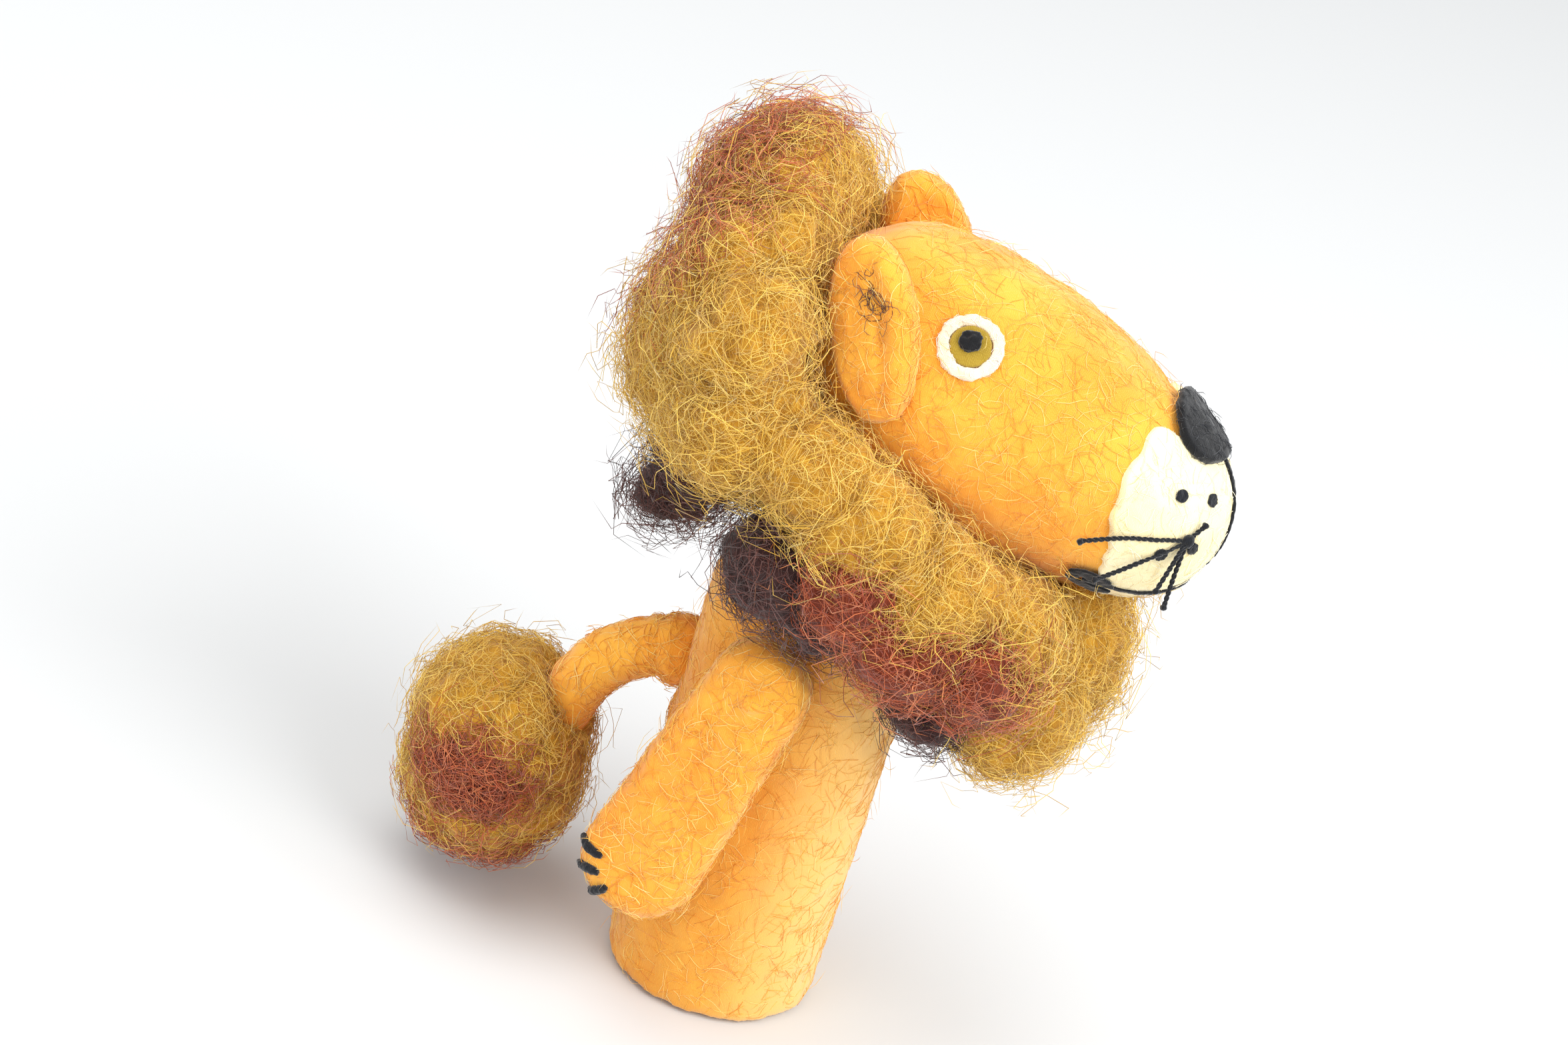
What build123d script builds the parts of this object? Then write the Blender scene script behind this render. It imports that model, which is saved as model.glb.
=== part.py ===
from build123d import *
import math
import os

os.makedirs("parts", exist_ok=True)

# A lion finger puppet of felted wool, in millimetres. The open hem of the sleeve lies in the
# plane z = 0, with the origin at the centre of the finger hole. The lion looks along -Y,
# its right side is at -X, and +Z is up.

# Sleeve: the body, open at the hem and domed at the neck
SLEEVE_R = 14.5
SLEEVE_WALL = 2.5
SLEEVE_TOP_Z = 68.7
SLEEVE_SHOULDER_Z = 56.0
NECK_SEAT_R = 6.5
DOME_WALL = 2.7
SHOULDER_BULGE = 0.86
SHOULDER_RISE = 0.66

# Clearances: soft bodies that move past each other, and thread in its hole
SOFT_GAP = 0.4
FACE_GAP = 0.3
THREAD_GAP = 0.15

# Neck: a felted ball and stem on which the head turns and nods
NECK_BALL_R = 7.0
NECK_STEM_R = 5.5
NECK_PIVOT_Z = SLEEVE_TOP_Z + FACE_GAP + NECK_BALL_R

# Neck well: the room in the mane for the sleeve's top and the neck while the head nods
WELL_SPREAD_DEG = 15.0
WELL_SIDE_GAP = 1.2
WELL_SHOULDER_GAP = 1.0
WELL_RISE_Z = 65.0
WELL_TOP_Z = 69.0
WELL_NECK_GAP = 5.0
WELL_NECK_DROP = 3.5

# Head: an egg on its side, its axis tipped down towards the nose
HEAD_RISE = 20.0
HEAD_CENTRE_Z = NECK_PIVOT_Z + HEAD_RISE
HEAD_PITCH_DEG = 14.0
HEAD_BACK_R = 16.5
HEAD_BACK_ALONG = 2.0
HEAD_FRONT_R = 12.0
HEAD_FRONT_ALONG = 34.0
HEAD_SIDE_R = 65.0
HEAD_SKIN = 2.5

# Layers felted or stitched on the head
EYE_LAYER = 0.6
PATCH_LAYER = 0.7
NOSE_LAYER = 1.1
STITCH_LAYER = 0.4

# Face, by distance along the head axis and by angle round it from the level of the axis
EYE_ALONG = 7.0
EYE_ANGLE = 39.0
EYE_WHITE_R = 4.1
IRIS_R = 2.6
PUPIL_R = 1.35
PATCH_START = 30.5
NOSE_ALONG = 36.0
NOSE_HALF_WIDTH = 6.2
NOSE_HALF_HEIGHT = 5.0
TOOL_DEPTH = 8.0
MOUTH_DROP = 5.0
MOUTH_LINE = 0.7
MOUTH_CORNER_ALONG = 34.0
MOUTH_CORNER_R = 2.1
MOUTH_CORNER_AHEAD = 1.0
DOT_R = 0.85
DOTS = ((38.0, 39.0), (41.5, 52.0), (39.8, 2.0), (42.6, 14.0))
WHISKER_ALONG = 40.8
WHISKER_ANGLE = 25.0
WHISKER_R = 0.3
WHISKER_ENDS = (
    (-6.5, 0.5, -15.0),
    (-7.0, -5.5, -12.5),
    (-3.0, -8.0, -6.0),
    (-3.6, -10.0, -5.0),
    (-0.5, 3.0, 0.5),
)
WHISKER_KNOT_R = 0.7
WHISKER_RISE = 0.5
WHISKER_REST_GAP = 0.05

# Ears: flat ovals that lean back
EAR_HALF_LENGTH = 11.2
EAR_HALF_WIDTH = 5.8
EAR_HALF_THICKNESS = 2.5
EAR_ROUND = 2.125
EAR_PLACE = (-15.0, 6.7, -3.8)
EAR_LEAN_DEG = 40.0
EAR_TOE_DEG = 22.0

# Arms: tapered flat limbs, each hung on a thread through the shoulder
ARM_PIVOT_Y = 2.0
ARM_PIVOT_Z = 53.5
ARM_SHOULDER_R = 6.6
ARM_PAW_R = 8.0
ARM_REACH = 31.0
ARM_THICKNESS = 7.6
ARM_ROUND = 3.0
ARM_REST_DEG = 15.0
THREAD_R = 0.5
THREAD_KNOT_R = 1.2
THREAD_KNOT = 0.8
THREAD_DEPTH = 1.5
CLAW_R = 0.65
CLAW_LENGTH = 3.4
CLAW_ANGLES = (-34.0, -4.0, 26.0)
CLAW_TILT_DEG = 55.0
CLAW_INSET = 0.9
CLAW_HEIGHT = 4.7

# Tail: a root ball on the back of the sleeve, a curved tail and a wool tuft
TAIL_ROOT_Z = 43.5
TAIL_R = 4.0
TAIL_FIRST_RUN = 9.0
TAIL_BEND_R = 14.0
TAIL_START_DEG = 35.0
TAIL_END_DEG = 75.0
TAIL_LAST_RUN = 7.0
TUFT_R = 12.0
TUFT_HALF_SPLIT = 3.5
TUFT_AHEAD = 6.6
TUFT_DROP = 6.6
HEART_R = 8.0
HEART_OUT = 7.0
HEART_RISE = 1.0
TIP_R = 6.0

# Mane: round lumps of wool, by place (left, up, forward) and radius in the head's frame
MANE_MIDDLE = {
    "mane_crown": (0, 8, -20, 13.5),
    "mane_nape": (0, -10, -17, 14),
    "mane_bib": (0, -26, 33, 13),
}
MANE_RIGHT = {
    "mane_crest": (-13, 6, -19, 11.5),
    "mane_upper_side": (-21, 6, -13, 9),
    "mane_side": (-19.5, -7, -9, 12),
    "mane_cheek": (-21, -18, 8, 10.5),
    "mane_rust_lock": (-15, -24, 22, 9.5),
    "mane_brown_lock": (-17, -25, -4, 9.5),
}
SHOULDER_CLEAR_R = 27.5
SHOULDER_CLEAR_Z = 64.5


pitch = math.radians(HEAD_PITCH_DEG)
forward = Vector(0, -math.cos(pitch), -math.sin(pitch))
head_plane = Plane(origin=(0, 0, HEAD_CENTRE_Z), x_dir=(1, 0, 0), z_dir=forward)
neck_pivot = Vector(0, 0, NECK_PIVOT_Z)
arm_inner_x = SLEEVE_R + SOFT_GAP
arm_outer_x = arm_inner_x + ARM_THICKNESS


def save(shape, name):
    """Write one node; a shape of several solids stays a group."""
    shape.label = name
    export_step(shape, f"parts/{name}.step")


def save_pair(shape, name):
    """Write a right-hand piece and its mirror image."""
    save(shape, f"right_{name}")
    save(mirror(shape, about=Plane.YZ), f"left_{name}")


def largest(shape):
    """The biggest solid of a cut, without the crumbs beside it."""
    return max(shape.solids(), key=lambda s: s.volume)


# --- Head profile -------------------------------------------------------------------------

def arc_from(centre, radius, start, end):
    """An arc in the XZ plane, its angles in radians from +X towards +Z."""
    points = []
    for angle in (start, (start + end) / 2, end):
        points.append((centre[0] + radius * math.cos(angle), 0, centre[1] + radius * math.sin(angle)))
    return ThreePointArc(*points)


def head_profile(grow):
    """Half section of the head: a round back, a long side arc and a blunt round muzzle."""
    to_back = HEAD_SIDE_R - HEAD_BACK_R
    to_front = HEAD_SIDE_R - HEAD_FRONT_R
    span = HEAD_FRONT_ALONG - HEAD_BACK_ALONG
    along = HEAD_BACK_ALONG + (span**2 + to_back**2 - to_front**2) / (2 * span)
    inside = math.sqrt(to_back**2 - (along - HEAD_BACK_ALONG) ** 2)
    low = math.atan2(HEAD_BACK_ALONG - along, inside)
    high = math.atan2(HEAD_FRONT_ALONG - along, inside)
    back = arc_from((0, HEAD_BACK_ALONG), HEAD_BACK_R + grow, -math.pi / 2, low)
    flank = arc_from((-inside, along), HEAD_SIDE_R + grow, low, high)
    front = arc_from((0, HEAD_FRONT_ALONG), HEAD_FRONT_R + grow, high, math.pi / 2)
    return make_face([back, flank, front, Line(front @ 1, back @ 0)])


def head_solid(grow=0.0):
    """The whole head, grown or shrunk evenly, in its own frame."""
    return revolve(head_profile(grow), Axis.Z)


def head_point(along, angle, grow=0.0):
    """A point on the grown head's right side, with the outward direction, in the head's frame."""
    radial = Vector(-math.cos(math.radians(angle)), math.sin(math.radians(angle)), 0)
    start = Vector(0, 0, along)
    ray = Axis(start, radial)
    hits = head_solid(grow).find_intersection_points(ray)
    point, normal = max(hits, key=lambda h: (h[0] - start).dot(radial))
    if normal.dot(radial) < 0:
        normal = normal * -1
    return point, normal


def layer(low, high):
    """The skin between two sizes of the head."""
    return head_solid(high) - head_solid(low)


def punch(along, angle, radius):
    """A round tool square to the head's surface."""
    point, normal = head_point(along, angle)
    plane = Plane(origin=point, z_dir=normal)
    return plane.location * Cylinder(radius, TOOL_DEPTH)


# --- Body: sleeve, neck, arms, tail ---------------------------------------------------------

def sleeve_outline(inset, hem_z, top_z, seat_r):
    """A closed half section: straight side, round shoulder, flat top."""
    r = SLEEVE_R - inset
    straight_z = SLEEVE_SHOULDER_Z - inset
    shoulder = Spline(
        (r, 0, straight_z),
        (SHOULDER_BULGE * r, 0, straight_z + SHOULDER_RISE * (top_z - straight_z)),
        (seat_r, 0, top_z),
        tangents=[(0, 0, 1), (-1, 0, 0)],
    )
    edges = [
        Line((0, 0, hem_z), (r, 0, hem_z)),
        Line((r, 0, hem_z), (r, 0, straight_z)),
        shoulder,
        Line((seat_r, 0, top_z), (0, 0, top_z)),
        Line((0, 0, top_z), (0, 0, hem_z)),
    ]
    return make_face(edges)


def make_sleeve():
    """The felt tube: open at the hem, closed and rounded at the neck."""
    outer = revolve(sleeve_outline(0, 0, SLEEVE_TOP_Z, NECK_SEAT_R), Axis.Z)
    inner_top = SLEEVE_TOP_Z - DOME_WALL
    inner = revolve(sleeve_outline(SLEEVE_WALL, -1, inner_top, NECK_SEAT_R - SLEEVE_WALL), Axis.Z)
    sleeve = outer - inner
    thread = arm_thread()
    return largest(sleeve - thread - mirror(thread, about=Plane.YZ))


def make_neck():
    """A ball inside the head on a stem that stands on the sleeve."""
    stem_z = SLEEVE_TOP_Z + FACE_GAP
    stem = Pos(0, 0, (stem_z + NECK_PIVOT_Z) / 2) * Cylinder(NECK_STEM_R, NECK_PIVOT_Z - stem_z)
    return Pos(neck_pivot) * Sphere(NECK_BALL_R) + stem


def arm_frame():
    """At the right arm's inner face on the pivot: local X down the arm, local Z outwards."""
    swing = math.radians(ARM_REST_DEG)
    down = Vector(0, math.sin(swing), -math.cos(swing))
    origin = (-arm_inner_x, ARM_PIVOT_Y, ARM_PIVOT_Z)
    return Plane(origin=origin, x_dir=down, z_dir=(-1, 0, 0))


def make_arm():
    """A flat limb that widens to the paw, with soft edges and a hole for its thread."""
    rounds = [Circle(ARM_SHOULDER_R), Pos(ARM_REACH, 0) * Circle(ARM_PAW_R)]
    outline = make_hull([edge for c in rounds for edge in c.edges()])
    blank = extrude(outline, ARM_THICKNESS, dir=(0, 0, 1))
    ends = blank.faces().filter_by(Axis.Z)
    limb = fillet(ends.edges(), ARM_ROUND)
    limb -= Cylinder(THREAD_R + THREAD_GAP, 4 * ARM_THICKNESS)
    return arm_frame().location * limb


def make_claws(arm):
    """Three thread stitches round the end of the paw, without what the arm fills."""
    claws = []
    for angle in CLAW_ANGLES:
        turn = Pos(ARM_REACH, 0, CLAW_HEIGHT) * Rot(0, 0, angle)
        bar = Cylinder(CLAW_R, CLAW_LENGTH, rotation=(0, CLAW_TILT_DEG, 0))
        place = turn * Pos(ARM_PAW_R - CLAW_INSET, 0, 0)
        stitch = arm_frame().location * (place * bar)
        claws.append(largest(stitch - arm))
    return Compound(children=claws)


def arm_thread():
    """The thread that carries an arm: from within the sleeve's wall to a knot outside."""
    start = SLEEVE_R - THREAD_DEPTH
    knot = arm_outer_x + FACE_GAP
    line = Pos(-(start + knot) / 2, 0, 0) * Cylinder(
        THREAD_R, knot - start, rotation=(0, 90, 0)
    )
    cap = Pos(-(knot + THREAD_KNOT / 2), 0, 0) * Cylinder(
        THREAD_KNOT_R, THREAD_KNOT, rotation=(0, 90, 0)
    )
    return Pos(0, ARM_PIVOT_Y, ARM_PIVOT_Z) * (line + cap)


tail_pivot = Vector(0, SLEEVE_R + SOFT_GAP + TAIL_R, TAIL_ROOT_Z)


def tail_path():
    """Out from the root, round one bend and down, in the YZ plane."""
    start = math.radians(TAIL_START_DEG)
    end = math.radians(TAIL_END_DEG)
    first = tail_pivot + Vector(0, math.cos(start), -math.sin(start)) * TAIL_FIRST_RUN / 2
    run = Line(tail_pivot, first)
    bend = TangentArc(first, first + Vector(
        0,
        TAIL_BEND_R * (math.sin(end) - math.sin(start)),
        -TAIL_BEND_R * (math.cos(start) - math.cos(end)),
    ), tangent=run % 1)
    tip = (bend @ 1) + (bend % 1) * TAIL_LAST_RUN
    return Wire([run, bend, Line(bend @ 1, tip)]), tip


def make_tail():
    """The felt cord along its path, hollowed at the root to turn on its ball."""
    path, _ = tail_path()
    section = Plane(origin=path @ 0, z_dir=path % 0) * Circle(TAIL_R)
    tube = sweep(section, path=path)
    return largest(tube - Pos(tail_pivot) * Sphere(TAIL_R + FACE_GAP))


def make_tuft(tail):
    """A wool pompon round the end of the tail: gold, a rust patch on the right, a rust tip."""
    _, tip = tail_path()
    centre = tip + Vector(0, TUFT_AHEAD, -TUFT_DROP)
    section = [
        arc_from((0, TUFT_HALF_SPLIT), TUFT_R, 0, math.pi / 2),
        Line((TUFT_R, 0, TUFT_HALF_SPLIT), (TUFT_R, 0, -TUFT_HALF_SPLIT)),
        arc_from((0, -TUFT_HALF_SPLIT), TUFT_R, 0, -math.pi / 2),
        Line((0, 0, -TUFT_HALF_SPLIT - TUFT_R), (0, 0, TUFT_HALF_SPLIT + TUFT_R)),
    ]
    whole = Pos(centre) * revolve(make_face(section), Axis.Z) - tail
    heart = Pos(centre + Vector(-HEART_OUT, 0, HEART_RISE)) * Sphere(HEART_R)
    foot = Pos(centre - Vector(0, 0, TUFT_HALF_SPLIT + TUFT_R)) * Sphere(TIP_R)
    gold = largest(whole - heart)
    return largest(gold - foot), largest(whole & heart), largest(gold & foot)


# --- Ears, whiskers and mane ----------------------------------------------------------------

def make_ear(head):
    """A flat oval on the side of the head, leaning back and toed out."""
    outline = SlotOverall(2 * EAR_HALF_LENGTH, 2 * EAR_HALF_WIDTH, rotation=90)
    blank = extrude(outline, EAR_HALF_THICKNESS, both=True)
    oval = fillet(blank.faces().filter_by(Axis.Z).edges(), EAR_ROUND)
    upright = Rot(0, 90, 0) * oval
    lean = Rot(-EAR_LEAN_DEG, 0, 0)
    toe = Rot(0, -EAR_TOE_DEG, 0)
    ear = Pos(*EAR_PLACE) * (toe * (lean * upright))
    return largest(ear - head)


def make_whiskers(corner):
    """Four stiff thread ends and a stub from one knot on the muzzle, clear of the mouth's corner."""
    root, normal = head_point(WHISKER_ALONG, WHISKER_ANGLE, PATCH_LAYER + WHISKER_R)
    start = root + normal * WHISKER_RISE
    bundle = Pos(start) * Sphere(WHISKER_KNOT_R)
    for end in WHISKER_ENDS:
        tip = start + Vector(*end)
        ray = tip - start
        strand = Plane(origin=start, z_dir=ray).location * Pos(0, 0, ray.length / 2)
        bundle += strand * Cylinder(WHISKER_R, ray.length)
    return largest(bundle - head_solid(PATCH_LAYER + WHISKER_REST_GAP) - corner)


def neck_well():
    """The room that the sleeve and the neck need inside the mane while the head nods."""
    spread = math.tan(math.radians(WELL_SPREAD_DEG))
    edge = SLEEVE_R + WELL_SIDE_GAP
    profile = [
        (0, 0),
        (edge + spread * NECK_PIVOT_Z, 0),
        (edge + spread * (NECK_PIVOT_Z - WELL_RISE_Z), WELL_RISE_Z),
        (edge + WELL_SHOULDER_GAP, WELL_TOP_Z),
        (NECK_BALL_R + WELL_NECK_GAP, NECK_PIVOT_Z - WELL_NECK_DROP),
        (NECK_BALL_R + FACE_GAP, NECK_PIVOT_Z),
        (0, NECK_PIVOT_Z + NECK_BALL_R + FACE_GAP),
    ]
    outline = Polyline(*[(x, 0, z) for x, z in profile], close=True)
    return revolve(make_face(outline), Axis.Z)


def make_mane(head, ear):
    """Round lumps of wool about the face, each cut back by those that it lies against."""
    patched = head_plane.location * head_solid(PATCH_LAYER)
    shoulders = Pos(0, 0, SHOULDER_CLEAR_Z / 2) * Cylinder(SHOULDER_CLEAR_R, SHOULDER_CLEAR_Z)
    done = [head, ear, mirror(ear, about=Plane.YZ), neck_well()]
    lumps = {}
    for name, (*place, radius) in (MANE_MIDDLE | MANE_RIGHT).items():
        whole = head_plane.location * Pos(*place) * Sphere(radius)
        cutters = done if name == "mane_bib" else [*done, shoulders]
        lump = whole
        if name == "mane_bib":
            lump -= patched
        for other in cutters:
            if touches(lump, other):
                lump = largest(lump - other)
        lumps[name] = lump
        done.append(whole)
    return lumps


def touches(first, second):
    """Whether the boxes round two pieces meet."""
    a, b = first.bounding_box(), second.bounding_box()
    return all(
        low <= high
        for low, high in zip((*a.min, *b.min), (*b.max, *a.max))
    )


# --- Face -------------------------------------------------------------------------------------

def make_eye():
    """White ring, iris and pupil, one inside another, in one thin layer."""
    skin = layer(0, EYE_LAYER)
    rounds = [punch(EYE_ALONG, EYE_ANGLE, r) for r in (EYE_WHITE_R, IRIS_R, PUPIL_R)]
    white, iris, pupil = [largest(skin & tool) for tool in rounds]
    return white - rounds[1], iris - rounds[2], pupil


def make_patch():
    """The cream cap on the front of the head."""
    cap = 2 * HEAD_FRONT_ALONG
    tool = Pos(0, 0, PATCH_START + cap / 2) * Box(cap, cap, cap)
    return largest(layer(0, PATCH_LAYER) & tool)


def make_nose():
    """An oval pad over the top of the muzzle."""
    pad = layer(PATCH_LAYER, PATCH_LAYER + NOSE_LAYER)
    point, normal = head_point(NOSE_ALONG, 90)
    tool = Plane(origin=point, x_dir=(1, 0, 0), z_dir=normal).location * extrude(
        Ellipse(NOSE_HALF_WIDTH, NOSE_HALF_HEIGHT), TOOL_DEPTH, both=True
    )
    return largest(pad & tool)


def make_mouth(nose):
    """A stitched line down from the nose and round the muzzle, and a pad at each corner."""
    thread = layer(PATCH_LAYER, PATCH_LAYER + STITCH_LAYER)
    reach = 2 * HEAD_FRONT_ALONG
    front = Pos(0, 0, MOUTH_CORNER_ALONG + reach / 2)
    smile = Pos(0, -MOUTH_DROP, 0) * front * Box(reach, MOUTH_LINE, reach)
    groove = Pos(0, reach / 2 - MOUTH_DROP, 0) * front * Box(MOUTH_LINE, reach, reach)
    line = largest((thread & (smile + groove)) - nose)
    corner_tool = Pos(-HEAD_BACK_R, -MOUTH_DROP, MOUTH_CORNER_ALONG + MOUTH_CORNER_AHEAD) * Cylinder(
        MOUTH_CORNER_R, 2 * HEAD_BACK_R, rotation=(0, 90, 0)
    )
    return line, largest((thread & corner_tool) - line)


def make_dots():
    """Four round stitches on one side of the muzzle."""
    skin = layer(PATCH_LAYER, PATCH_LAYER + STITCH_LAYER)
    return Compound(children=[
        largest(skin & punch(along, angle, DOT_R)) for along, angle in DOTS
    ])


def main():
    save(make_sleeve(), "body_sleeve")
    save(make_neck(), "neck_stem")
    save(Pos(tail_pivot) * Sphere(TAIL_R), "tail_root")
    tail = make_tail()
    save(tail, "tail")
    for piece, name in zip(make_tuft(tail), ("tail_tuft", "tuft_rust_heart", "tuft_rust_tip")):
        save(piece, name)
    arm = make_arm()
    save_pair(arm, "arm")
    save_pair(make_claws(arm), "claws")
    save_pair(arm_thread(), "arm_thread")

    place = head_plane.location
    local_head = head_solid()
    core = head_solid(-HEAD_SKIN)
    socket = Pos(neck_pivot) * Sphere(NECK_BALL_R + FACE_GAP)
    save(largest(place * (local_head - core) - socket), "head_skin")
    save(largest(place * core - socket), "head_core")
    save(place * make_patch(), "muzzle_patch")
    nose = make_nose()
    save(place * nose, "nose")
    line, corner = make_mouth(nose)
    save(place * line, "mouth_line")
    save_pair(place * corner, "mouth_corner")
    for piece, name in zip(make_eye(), ("eye_white", "iris", "pupil")):
        save_pair(place * piece, name)
    dots = make_dots()
    save_pair(place * dots, "whisker_dots")
    save_pair(place * make_whiskers(corner), "whiskers")
    ear = place * make_ear(local_head)
    save_pair(ear, "ear")

    for name, lump in make_mane(place * local_head, ear).items():
        if name in MANE_MIDDLE:
            save(lump, name)
        else:
            save_pair(lump, name)


main()
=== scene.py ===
# %% [markdown]
# A lion finger puppet felted from wool. The construction model holds its sizes and its joints, and this
# lesson gives it its felt, its thread and its loose mane. Everything is in metres, in the frame of the
# construction model: the puppet looks towards -Y and its right side is towards -X.

# %% Load the frame
import math

import bpy
import numpy as np
from mathutils import Matrix, Vector
from mathutils.bvhtree import BVHTree


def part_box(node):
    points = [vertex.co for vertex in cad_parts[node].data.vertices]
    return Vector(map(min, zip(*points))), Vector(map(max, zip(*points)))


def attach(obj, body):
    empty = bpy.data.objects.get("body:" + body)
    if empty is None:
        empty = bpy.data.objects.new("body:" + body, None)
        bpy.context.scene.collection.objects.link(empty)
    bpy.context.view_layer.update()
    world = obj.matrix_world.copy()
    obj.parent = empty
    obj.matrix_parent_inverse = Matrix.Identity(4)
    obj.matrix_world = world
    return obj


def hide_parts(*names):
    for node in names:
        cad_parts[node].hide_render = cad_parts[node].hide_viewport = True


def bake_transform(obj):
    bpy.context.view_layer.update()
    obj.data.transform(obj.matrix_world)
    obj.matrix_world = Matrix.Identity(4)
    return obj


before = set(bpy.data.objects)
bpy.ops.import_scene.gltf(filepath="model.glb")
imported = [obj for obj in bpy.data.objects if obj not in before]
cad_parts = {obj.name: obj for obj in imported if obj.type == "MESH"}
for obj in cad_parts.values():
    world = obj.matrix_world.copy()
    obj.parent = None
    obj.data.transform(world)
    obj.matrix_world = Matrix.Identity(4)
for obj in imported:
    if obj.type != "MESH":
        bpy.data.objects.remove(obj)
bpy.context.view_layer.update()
MM = 0.001

# %% [markdown]
# The head leans forward on the neck. Its own axes are "ahead" towards the nose and "up" towards the top of
# the skull, so places on the face are given as left, up and ahead of the middle of the neck end.

# %% The head's own axes
HEAD_PITCH = math.radians(14)
HEAD_CENTRE = Vector((0, 0, 96 * MM))
AHEAD = Vector((0, -math.cos(HEAD_PITCH), -math.sin(HEAD_PITCH)))
UP = Vector((0, -math.sin(HEAD_PITCH), math.cos(HEAD_PITCH)))


def on_head(left, up, ahead):
    """A place on the head, from millimetres along the head's own axes."""
    return HEAD_CENTRE + Vector((left, 0, 0)) * MM + UP * (up * MM) + AHEAD * (ahead * MM)


print("muzzle front", [round(v / MM, 1) for v in on_head(0, 0, 46)])

# %% [markdown]
# The camera stands on the puppet's right, above it, and is tilted, so the puppet leans across the picture
# the way a hand would hold it up.

# %% Camera
SIDE_ON = Vector((-0.883, -0.1136, 0.4554)).normalized()
ACROSS = Vector((0.2533, -0.9302, 0.2592)).normalized()
OVER = SIDE_ON.cross(ACROSS).normalized()
ACROSS = OVER.cross(SIDE_ON).normalized()
AIM = Vector((-11.8, 6.1, 73.2)) * MM
DISTANCE = 0.40
FOCAL_LENGTH = 73.6

lens = bpy.data.cameras.new("puppet camera")
lens.sensor_width = 36
lens.lens = FOCAL_LENGTH
lens.clip_start = 0.01
camera = bpy.data.objects.new("puppet camera", lens)
bpy.context.scene.collection.objects.link(camera)
turn = Matrix((ACROSS, OVER, SIDE_ON)).transposed().to_4x4()
camera.matrix_world = Matrix.Translation(AIM + SIDE_ON * DISTANCE) @ turn
bpy.context.scene.camera = camera
bpy.context.scene.view_settings.view_transform = "Standard"
print("camera stands", [round(v, 3) for v in camera.location])

# %% [markdown]
# Materials. Felt is many fine fibres pressed flat, so close up it is a tangle of thin lines, and from afar
# it is a soft cloudy colour. One node group makes both, as masks, and every felt places it with its own
# sizes. It reads Object coordinates in millimetres, so the pattern is the right size on every piece.

# %% Helpers for node groups
def socket(group, name, kind, where, value=None):
    """A new input or output of a node group."""
    made = group.interface.new_socket(name=name, in_out=where, socket_type=kind)
    if value is not None:
        made.default_value = value
    return made


def combine(nodes, links, operation, a, b):
    """Two values put together by a math node."""
    node = nodes.new("ShaderNodeMath")
    node.operation = operation
    links.new(a, node.inputs[0])
    links.new(b, node.inputs[1])
    return node.outputs[0]


def fibre_lines(nodes, links, place, size):
    """Three sets of wavy lines, one across each axis."""
    lines = []
    for direction, strength in (("X", 9.0), ("Y", 11.0), ("Z", 13.0)):
        wave = nodes.new("ShaderNodeTexWave")
        wave.bands_direction = direction
        wave.inputs["Distortion"].default_value = strength
        wave.inputs["Detail"].default_value = 3
        wave.inputs["Detail Scale"].default_value = 0.55
        wave.inputs["Detail Roughness"].default_value = 0.6
        links.new(place, wave.inputs["Vector"])
        links.new(size, wave.inputs["Scale"])
        lines.append(wave.outputs["Fac"])
    return lines


print("made", [f.__name__ for f in (socket, combine, fibre_lines)])

# %% [markdown]
# The group multiplies the lines two by two, so they break where they cross, and keeps the stronger. A cloud
# of noise gives the patches.


# %% A node group for pressed fibres
def pressed_fibres():
    """Masks for felt: fine crossing fibres and broad soft patches."""
    group = bpy.data.node_groups.new("pressed fibres", "ShaderNodeTree")
    socket(group, "Fibre Size", "NodeSocketFloat", "INPUT", 0.8)
    socket(group, "Patch Size", "NodeSocketFloat", "INPUT", 0.12)
    socket(group, "Fibres", "NodeSocketFloat", "OUTPUT")
    socket(group, "Patches", "NodeSocketFloat", "OUTPUT")
    nodes, links = group.nodes, group.links
    start, end = nodes.new("NodeGroupInput"), nodes.new("NodeGroupOutput")
    place = nodes.new("ShaderNodeTexCoord")
    scale = nodes.new("ShaderNodeVectorMath")
    scale.operation = "SCALE"
    scale.inputs["Scale"].default_value = 1 / MM
    links.new(place.outputs["Object"], scale.inputs[0])
    x_lines, y_lines, z_lines = fibre_lines(nodes, links, scale.outputs[0], start.outputs["Fibre Size"])
    first = combine(nodes, links, "MULTIPLY", x_lines, y_lines)
    second = combine(nodes, links, "MULTIPLY", y_lines, z_lines)
    crossed = combine(nodes, links, "MAXIMUM", first, second)
    links.new(crossed, end.inputs["Fibres"])
    cloud = nodes.new("ShaderNodeTexNoise")
    cloud.inputs["Detail"].default_value = 3
    cloud.inputs["Roughness"].default_value = 0.55
    links.new(scale.outputs[0], cloud.inputs["Vector"])
    links.new(start.outputs["Patch Size"], cloud.inputs["Scale"])
    spread = nodes.new("ShaderNodeMapRange")
    spread.inputs["From Min"].default_value = 0.35
    spread.inputs["From Max"].default_value = 0.68
    links.new(cloud.outputs["Fac"], spread.inputs["Value"])
    links.new(spread.outputs["Result"], end.inputs["Patches"])
    return group


FIBRES = pressed_fibres()
print("made the node group", FIBRES.name)

# %% [markdown]
# Each felt mixes three colours of the same wool: the main one, a darker patch colour in broad random patches,
# and a lighter one along the fine fibres, which is partly their pattern and partly a painted highlight on the
# raised fibres. A bump lifts the fibres a little.


# %% Felt materials
def linear(rgb):
    """A colour given as it looks on a screen, as the numbers that the shader mixes."""
    return tuple(((c + 0.055) / 1.055) ** 2.4 if c > 0.04045 else c / 12.92 for c in rgb)


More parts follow.
